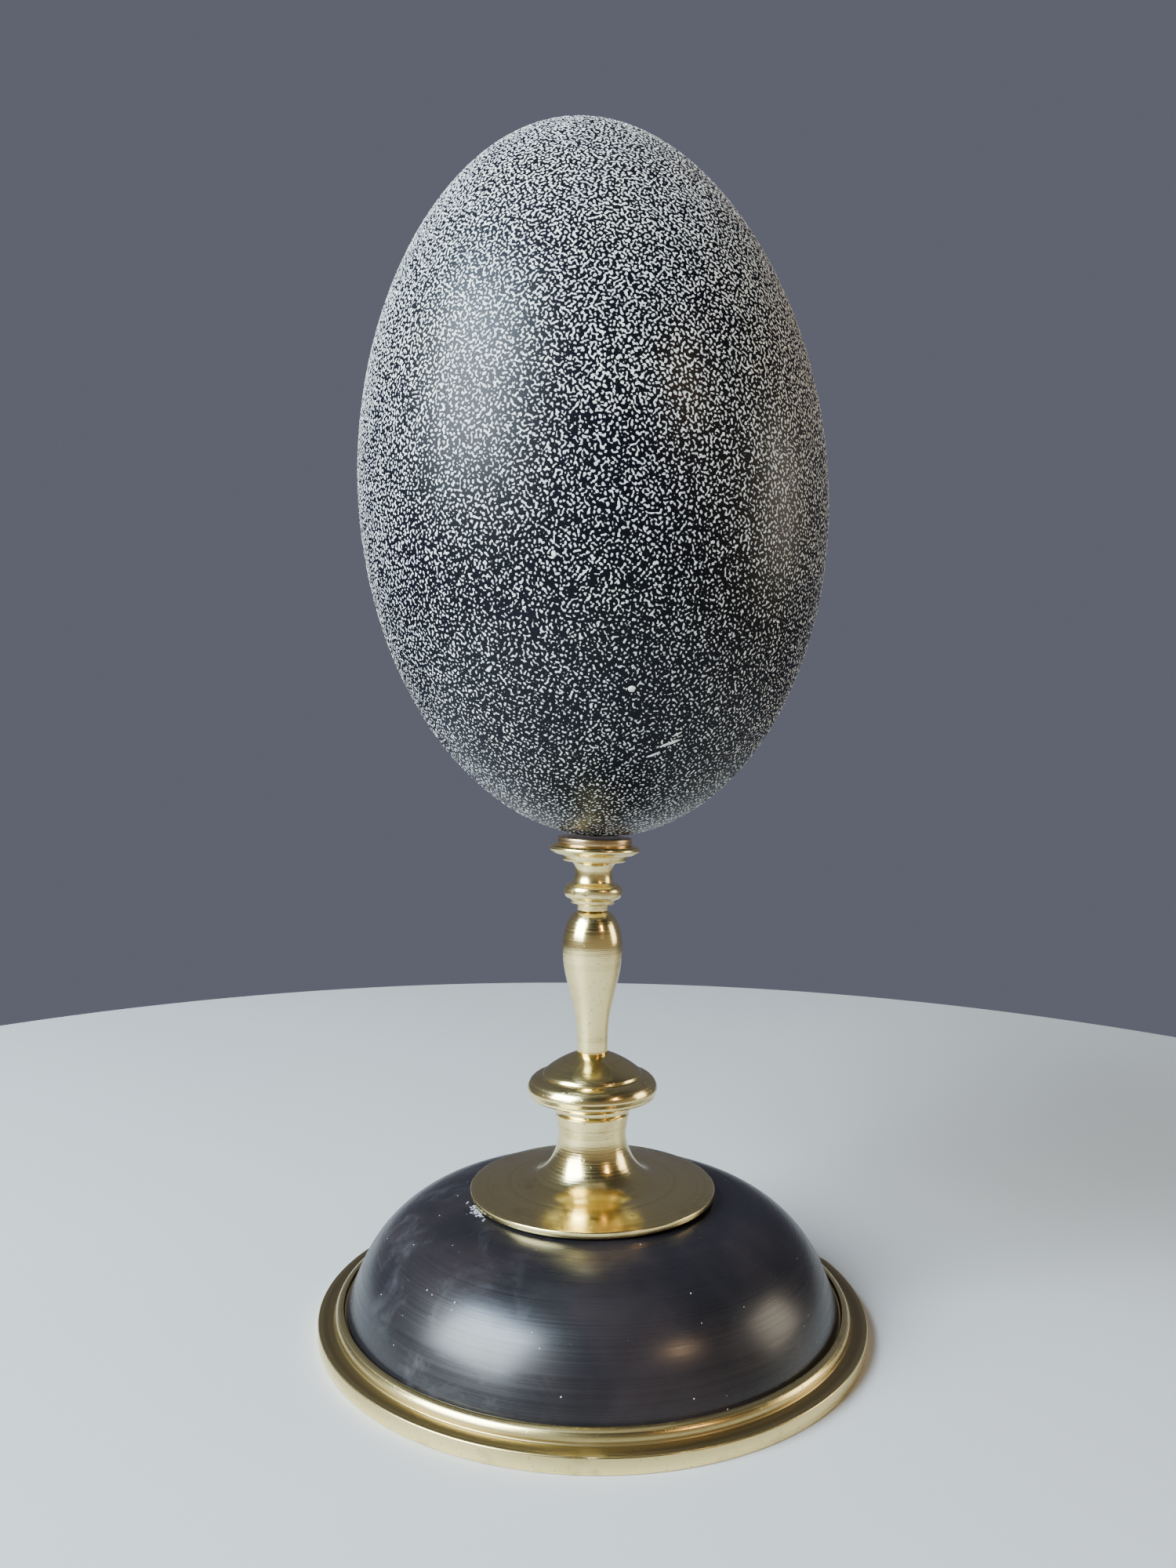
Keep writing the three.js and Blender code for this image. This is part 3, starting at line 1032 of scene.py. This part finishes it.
@dataclass
class EmuEgg:
    """The egg: a smooth dark ground, and pale granules that stand on it."""

    length: float = 132.9 * MM
    half_width: float = 43.39 * MM
    taper: float = 0.0362
    fullness: float = -0.0130
    ground_drop: float = 0.12 * MM
    sides: int = 256
    rings: int = 160
    spacing: float = 0.37 * MM
    granule_size: float = 0.145 * MM
    granule_height: float = 0.045 * MM
    granule_sizes: tuple[float, float] = (0.8, 1.25)
    granule_length: float = 2.3
    least_cover: float = 0.012
    seed: int = 11
    pattern: GranulePattern = field(default_factory=GranulePattern)

    def outline_point(self, turn: float, drop: float = 0.0) -> tuple[float, float]:
        """Radius and height of the egg's outline.

        Args:
            turn: angle along the outline, 0 at the lower tip and pi at the upper tip.
            drop: how far below the surface the point lies.

        Returns:
            Radius and height from the egg's middle, in metres.
        """
        shape = 1 + self.taper * math.cos(turn) + self.fullness * math.cos(2 * turn)
        radius = (self.half_width - drop) * math.sin(turn) * shape
        return radius, -(self.length / 2 - drop) * math.cos(turn)

    def ground(self) -> bmesh.types.BMesh:
        """Turns the smooth ground of the egg about its middle."""
        turns = [math.pi * i / self.rings for i in range(self.rings + 1)]
        return spun([self.outline_point(turn, self.ground_drop) for turn in turns], self.sides)

    def shell(self, finish: bpy.types.Material) -> bpy.types.Object:
        """Sets the ground in its place and dresses it."""
        return settle("egg_shell", self.ground(), STACK.egg(), finish)

    def granule(self, finish: bpy.types.Material) -> bpy.types.Object:
        """One low five-sided granule, which is removed once it has been scattered."""
        bm = bmesh.new()
        bmesh.ops.create_cone(bm, cap_ends=True, segments=5, radius1=1.0, radius2=0.80, depth=1.4)
        bmesh.ops.translate(bm, verts=bm.verts, vec=(0, 0, 0.3))
        return settle("granule_master", bm, Matrix.Identity(4), finish)

    def chips(self, finish: bpy.types.Material) -> bpy.types.Object:
        """Thin cream chips and rubs, let into the shell where the wear is."""
        bm = bmesh.new()
        for chip in CHIPS:
            turn = math.acos(-chip.height * MM / (self.length / 2))
            low, high = (Vector(self.outline_point(turn + step)) for step in (-0.01, 0.01))
            lean = math.atan2(high.y - low.y, low.x - high.x)
            radius, height = self.outline_point(turn, self.ground_drop)
            slant = Matrix.Rotation(math.radians(chip.slant), 4, "Z")
            stand = Matrix.Translation((0, -radius, height)) @ Matrix.Rotation(lean, 4, "X") @ slant
            place = Matrix.Rotation(math.radians(chip.azimuth), 4, "Z") @ stand
            key = Vector((chip.azimuth, chip.height, 0))
            lump(bm, (chip.length, chip.width, 0.26), place, key)
        return settle("egg_chips", bm, STACK.egg(), finish)

    def ridge_direction(self, graph: Graph, place: Socket, normal: Socket) -> Socket:
        """Direction along the pattern's ridge at a place, square to the noise's slope."""
        step = 0.12 * MM
        here = self.pattern.field(graph, place)
        rises = []
        for axis in ((step, 0, 0), (0, step, 0), (0, 0, step)):
            there = self.pattern.field(graph, graph.vector("ADD", place, axis))
            rises.append(graph.math("SUBTRACT", there, here))
        slope = graph.node("ShaderNodeCombineXYZ", *rises).outputs[0]
        return graph.vector("CROSS_PRODUCT", normal, slope)

    def scatter(self, band: EggBand, master: bpy.types.Object) -> bpy.types.NodeTree:
        """Node tree that stands granules on the pattern's ridges within a band of heights.

        Args:
            band: the band of heights.
            master: the granule to repeat.

        Returns:
            A geometry node tree from the shell to the band's granules.
        """
        tree = bpy.data.node_groups.new(f"granules_{band.name.lower()}", "GeometryNodeTree")
        tree.interface.new_socket("Shell", in_out="INPUT", socket_type="NodeSocketGeometry")
        tree.interface.new_socket("Granules", in_out="OUTPUT", socket_type="NodeSocketGeometry")
        graph = Graph(tree)
        spots = graph.node("GeometryNodeDistributePointsOnFaces", distribute_method="POISSON")
        graph.feed(spots.inputs["Mesh"], graph.node("NodeGroupInput").outputs[0])
        spots.inputs["Distance Min"].default_value = self.spacing
        spots.inputs["Density Max"].default_value = 5.0 / self.spacing ** 2
        spots.inputs["Seed"].default_value = self.seed
        place = graph.node("GeometryNodeInputPosition").outputs[0]
        height = graph.axes(place)[2]
        low, high = (z * MM for z in band.value)
        graph.feed(spots.inputs["Selection"], graph.within(height, low - MM, high + MM))
        hold = graph.node("GeometryNodeCaptureAttribute", domain="POINT")
        hold.capture_items.new("VECTOR", "normal")
        graph.feed(hold.inputs["Geometry"], spots.outputs["Points"])
        graph.feed(hold.inputs["normal"], spots.outputs["Normal"])
        normal = hold.outputs["normal"]
        outside = graph.math("SUBTRACT", 1.0, graph.within(height, low, high))
        kept = graph.node("GeometryNodeDeleteGeometry", hold.outputs["Geometry"], outside,
                          domain="POINT")
        cover = self.pattern.cover(graph, place)
        bare = graph.math("LESS_THAN", cover, self.least_cover)
        kept = graph.node("GeometryNodeDeleteGeometry", kept.outputs[0], bare, domain="POINT")
        lift = graph.node("FunctionNodeAlignRotationToVector", axis="Z")
        graph.feed(lift.inputs["Vector"], normal)
        turn = graph.node("FunctionNodeAlignRotationToVector", axis="X", pivot_axis="Z")
        graph.feed(turn.inputs["Rotation"], lift.outputs[0])
        graph.feed(turn.inputs["Vector"], self.ridge_direction(graph, place, normal))
        chance = graph.node("FunctionNodeRandomValue", data_type="FLOAT")
        chance.inputs["Seed"].default_value = self.seed
        for target, share in zip(chance.inputs[2:4], self.granule_sizes):
            target.default_value = share
        grow = graph.spread(cover, 0.0, 0.12, 0.6, 1.0, smooth=False)
        size = graph.math("MULTIPLY", graph.math("MULTIPLY", grow, chance.outputs[1]),
                          self.granule_size)
        along = graph.math("MULTIPLY", size, self.granule_length)
        tall = graph.math("MULTIPLY", grow, self.granule_height)
        scale = graph.node("ShaderNodeCombineXYZ", along, size, tall)
        stand = graph.node("GeometryNodeInstanceOnPoints")
        source = graph.node("GeometryNodeObjectInfo")
        source.inputs["Object"].default_value = master
        graph.feed(stand.inputs["Points"], kept.outputs[0])
        graph.feed(stand.inputs["Instance"], source.outputs["Geometry"])
        graph.feed(stand.inputs["Rotation"], turn.outputs[0])
        graph.feed(stand.inputs["Scale"], scale.outputs[0])
        real = graph.node("GeometryNodeRealizeInstances", stand.outputs[0])
        graph.node("NodeGroupOutput", real.outputs[0])
        return tree

    def granules(self, finish: bpy.types.Material) -> list[bpy.types.Object]:
        """Builds the granules, each band of heights as a mesh of its own.

        Args:
            finish: their material.

        Returns:
            One object for each band.
        """
        master = self.granule(finish)
        carrier = settle("granule_carrier", self.ground(), Matrix.Identity(4), finish)
        modifier = carrier.modifiers.new("scatter", "NODES")
        made = []
        for band in EggBand:
            modifier.node_group = self.scatter(band, master)
            bpy.context.view_layer.update()
            seen = carrier.evaluated_get(bpy.context.evaluated_depsgraph_get())
            mesh = bpy.data.meshes.new_from_object(seen)
            mesh.name = f"egg_granules_{band.name.lower()}"
            mesh.transform(STACK.egg())
            mesh.materials.clear()
            mesh.materials.append(finish)
            mesh.shade_smooth()
            made.append(bpy.data.objects.new(mesh.name, mesh))
            bpy.context.scene.collection.objects.link(made[-1])
        for temporary in (carrier, master):
            bpy.data.objects.remove(temporary)
        return made


@dataclass(frozen=True)
class Lamp:
    """A soft light that faces the middle of the object.

    The azimuth is in degrees round from the camera's side, positive to the right, and the elevation
    in degrees above level. Size and distance are in metres, and power is in watts.
    """

    name: str
    azimuth: float
    elevation: float
    size: tuple[float, float]
    power: float
    tint: Colour
    distance: float = 0.9
    middle: float = 110 * MM

    def build(self) -> None:
        """Makes the light."""
        lamp = bpy.data.lights.new(self.name, "AREA")
        lamp.shape = "RECTANGLE"
        lamp.size, lamp.size_y = self.size
        lamp.energy, lamp.color = self.power, self.tint
        made = bpy.data.objects.new(self.name, lamp)
        side, up = math.radians(self.azimuth), math.radians(self.elevation)
        way = Vector((math.sin(side) * math.cos(up), -math.cos(side) * math.cos(up), math.sin(up)))
        place = Matrix.Translation(Vector((0, 0, self.middle)) + way * self.distance)
        made.matrix_world = place @ way.to_track_quat("Z", "Y").to_matrix().to_4x4()
        bpy.context.scene.collection.objects.link(made)


LAMPS = (
    Lamp("window_left", -57, 29, (0.62, 0.60), 35.0, (0.80, 0.93, 1.0)),
    Lamp("sky_left", -60, 44, (0.50, 0.20), 4.0, (0.36, 0.62, 1.0)),
    Lamp("lamp_right", 44, 30, (0.06, 0.06), 1.0, (1.0, 0.66, 0.34)),
    Lamp("window_right", 94, 11, (0.34, 0.38), 2.3, (1.0, 0.90, 0.70)),
    Lamp("ceiling", 0, 86, (0.8, 0.8), 0.8, (0.98, 0.99, 1.0), 1.2),
)


@dataclass
class Studio:
    """Camera at the photograph's viewing angle, pale floor and soft lights."""

    lens: float = 27.036
    camera_place: tuple[float, float, float] = (-1.91 * MM, -225.6 * MM, 109.3 * MM)
    pitch: float = 1.74
    roll: float = 0.6
    floor_radius: float = 320 * MM
    room_front: Colour = (0.290, 0.250, 0.200)
    room_high: Colour = (0.040, 0.039, 0.040)
    room_back: Colour = (0.120, 0.126, 0.164)

    def camera(self) -> None:
        """Makes the camera."""
        lens = bpy.data.cameras.new("camera")
        lens.lens = self.lens
        lens.clip_start, lens.clip_end = 0.01, 20.0
        made = bpy.data.objects.new("camera", lens)
        tilt = Matrix.Rotation(math.radians(90 - self.pitch), 4, "X")
        turn = Matrix.Rotation(math.radians(self.roll), 4, "Z")
        made.matrix_world = Matrix.Translation(self.camera_place) @ tilt @ turn
        bpy.context.scene.collection.objects.link(made)
        bpy.context.scene.camera = made

    def floor(self, finish: bpy.types.Material) -> None:
        """Makes the round pale floor."""
        bm = bmesh.new()
        bmesh.ops.create_circle(bm, cap_ends=True, segments=160, radius=self.floor_radius)
        settle("floor", bm, Matrix.Identity(4), finish)

    def room(self) -> None:
        """Makes the dim room, bluer behind the object and warmer, but dark high up, in front."""
        world = bpy.data.worlds.new("room")
        world.use_nodes = True
        graph = Graph(world.node_tree)
        way = graph.node("ShaderNodeTexCoord").outputs["Generated"]
        _, deep, high = graph.axes(way)
        front = graph.blend(graph.spread(high, 0.1, 0.55), self.room_front, self.room_high)
        colour = graph.blend(graph.spread(deep, -0.2, 0.6), front, self.room_back)
        graph.feed(world.node_tree.nodes["Background"].inputs["Color"], colour)
        bpy.context.scene.world = world

    def build(self) -> None:
        """Makes everything around the object."""
        self.camera()
        self.floor(Plaster().material())
        for lamp in LAMPS:
            lamp.build()
        self.room()


def main() -> None:
    """Builds the scene in order and reports each piece."""
    logging.basicConfig(level=logging.INFO, format="%(name)s %(message)s")
    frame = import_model()
    LOG.info("CAD nodes: %s", ", ".join(sorted(frame["nodes"])))
    Studio().build()
    satin, polished = Brass(BrassTone.SATIN), Brass(BrassTone.POLISHED).material(STACK.upright())
    ebonised = EbonisedWood().material(STACK.straight())
    # painted shade darkens the base plate's flat step at the bead's foot
    corner_shaded_brass = Brass(BrassTone.SATIN, corner=(50.2, 2.84)).material(STACK.straight())
    fit(BasePlate().build(corner_shaded_brass), "satin_brass", "base_plate")
    dome = Dome()
    fit(dome.build(ebonised), "ebonised_wood", "dome")
    fit(dome.crumbs(DUST_FINISH.material()), "ebonised_wood")
    fit(Foot().build(polished), "polished_brass", "foot")
    fit(Knop().build(polished), "polished_brass", "knop")
    fit(Stem().build(polished), "polished_brass", "stem")
    fit(Collar().build(satin.material(STACK.collar())), "satin_brass", "collar")
    tarnished = Brass(BrassTone.TARNISHED).material(STACK.ring())
    fit(SeatRing().build(tarnished), "tarnished_brass", "seat_ring")
    egg = EmuEgg()
    coat = EmuShell(egg.pattern)
    shell = egg.shell(coat.material())
    for band in egg.granules(coat.granule_material()):
        fit(band, "emu_shell")
    fit(egg.chips(CHIP_FINISH.material()), "emu_shell")
    fit(shell, "emu_shell", "emu_egg")


if __name__ == "__main__":
    main()
